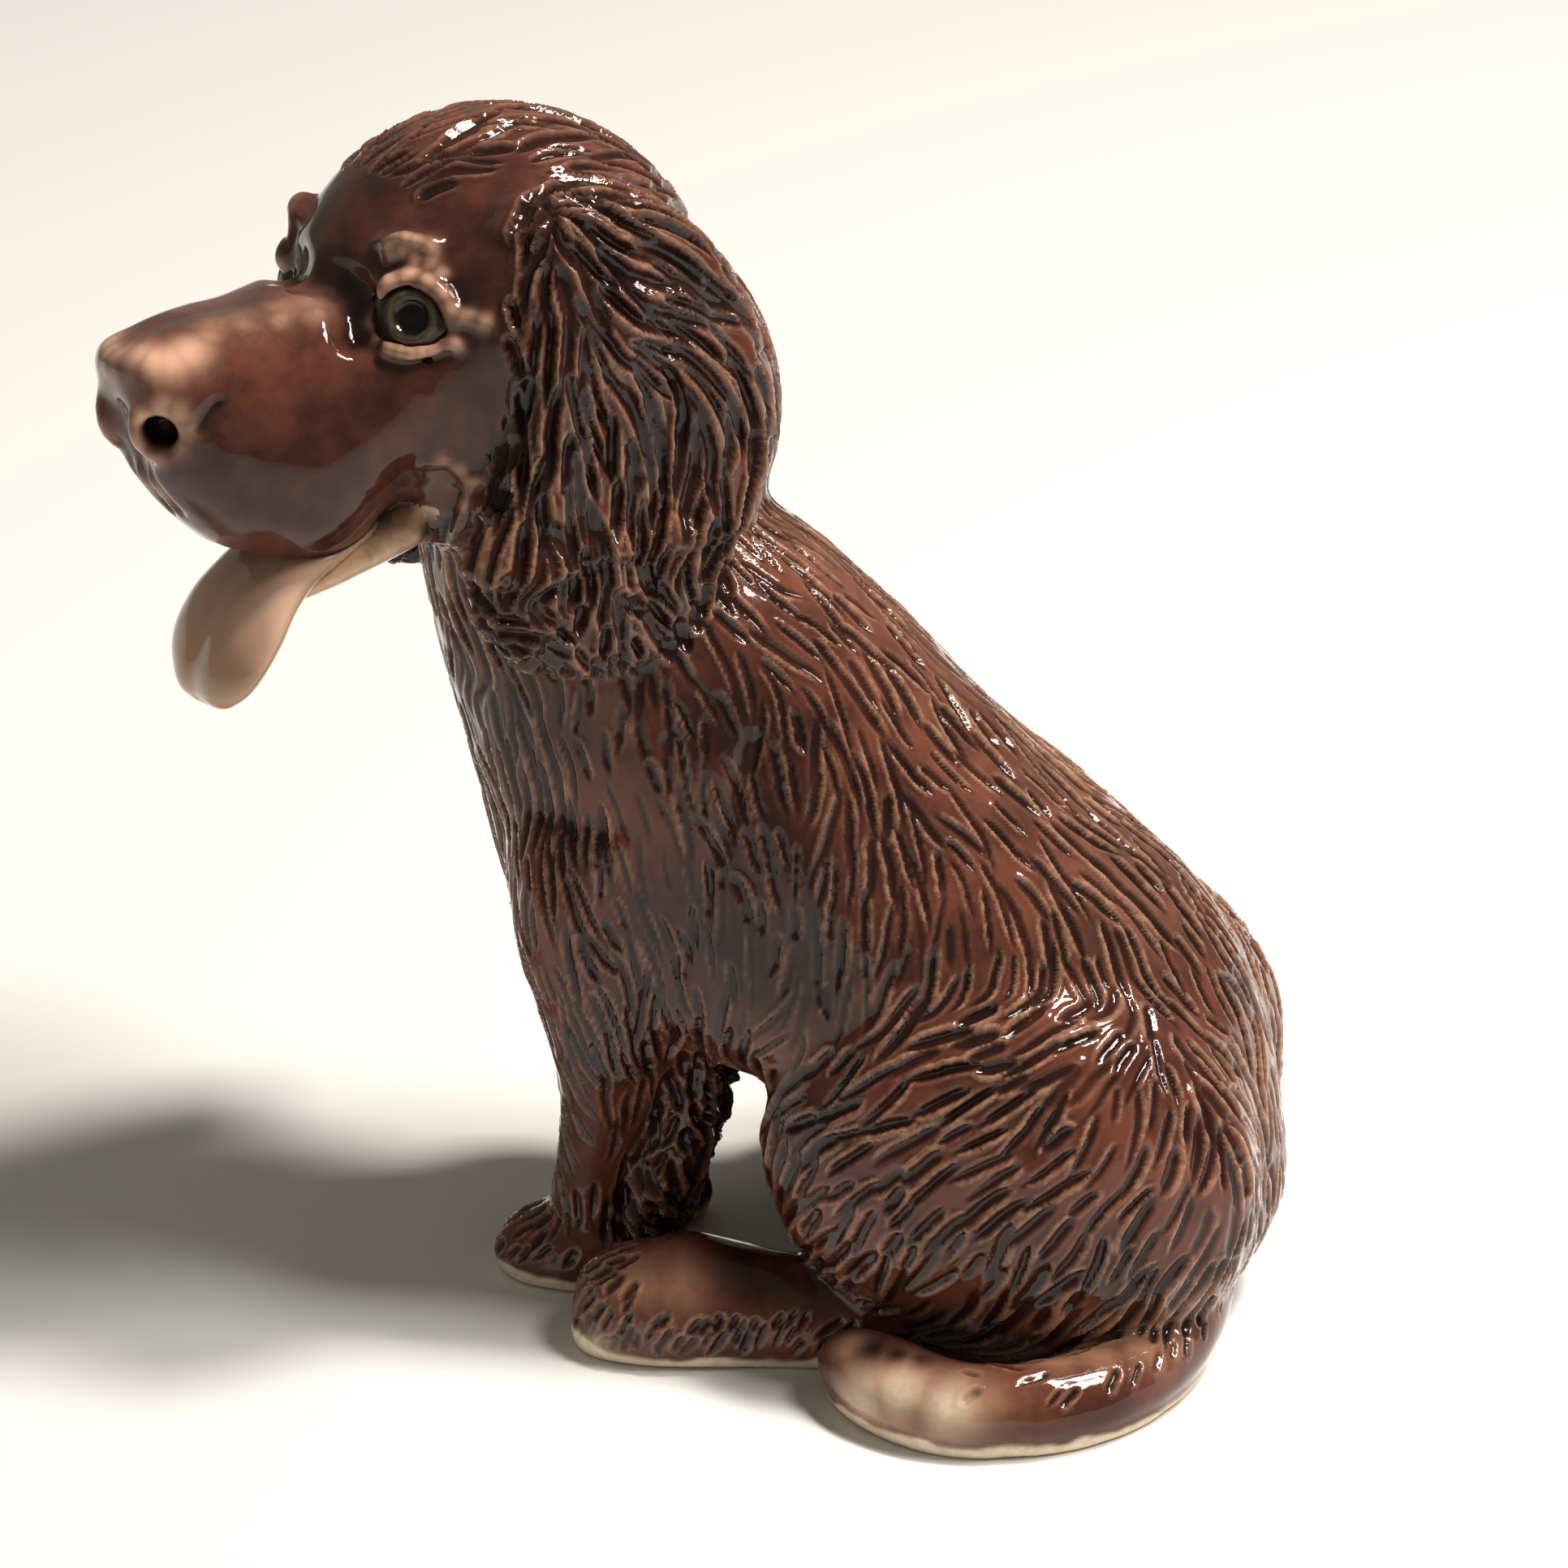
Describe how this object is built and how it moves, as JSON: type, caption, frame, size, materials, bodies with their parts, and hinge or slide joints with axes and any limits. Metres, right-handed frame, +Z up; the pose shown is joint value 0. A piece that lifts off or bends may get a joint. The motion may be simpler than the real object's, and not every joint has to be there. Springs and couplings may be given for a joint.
{
  "type": "seated spaniel figure",
  "caption": "Hand-built glazed clay spaniel figure, sitting with its head turned, mouth open and tongue out; a free-standing ornament.",
  "frame": {"origin": "on the ground under the middle of the seat, in the dog's mid plane", "axes": "+Z up, the dog faces -Y, its left side is +X"},
  "size_m": [0.0807, 0.1329, 0.144],
  "materials": {
    "brown_glaze": "glossy brown glaze, dark where it pools and tan where it breaks on ridges",
    "cream_glaze": "thin glossy glaze over pale clay",
    "tongue_glaze": "glossy pinkish cream glaze",
    "eye_glaze": "glossy olive brown glaze, dark in the pupil",
    "bare_clay": "matt bare fired clay"
  },
  "bodies": {
    "root": {"torso": "brown_glaze", "seat_slab": "bare_clay", "head": "brown_glaze", "muzzle": "brown_glaze", "nose": "brown_glaze", "lower_jaw": "cream_glaze", "tongue": "tongue_glaze", "left_eyeball": "eye_glaze", "right_eyeball": "eye_glaze", "left_upper_lid": "brown_glaze", "right_upper_lid": "brown_glaze", "left_lower_lid": "brown_glaze", "right_lower_lid": "brown_glaze", "left_brow": "brown_glaze", "right_brow": "brown_glaze", "left_ear": "brown_glaze", "right_ear": "brown_glaze", "left_foreleg": "brown_glaze", "right_foreleg": "brown_glaze", "left_forepaw": "brown_glaze", "right_forepaw": "brown_glaze", "left_feathering": "brown_glaze", "right_feathering": "brown_glaze", "left_haunch": "brown_glaze", "right_haunch": "brown_glaze", "left_hind_foot": "brown_glaze", "right_hind_foot": "brown_glaze", "tail": "brown_glaze"}
  },
  "joints": []
}
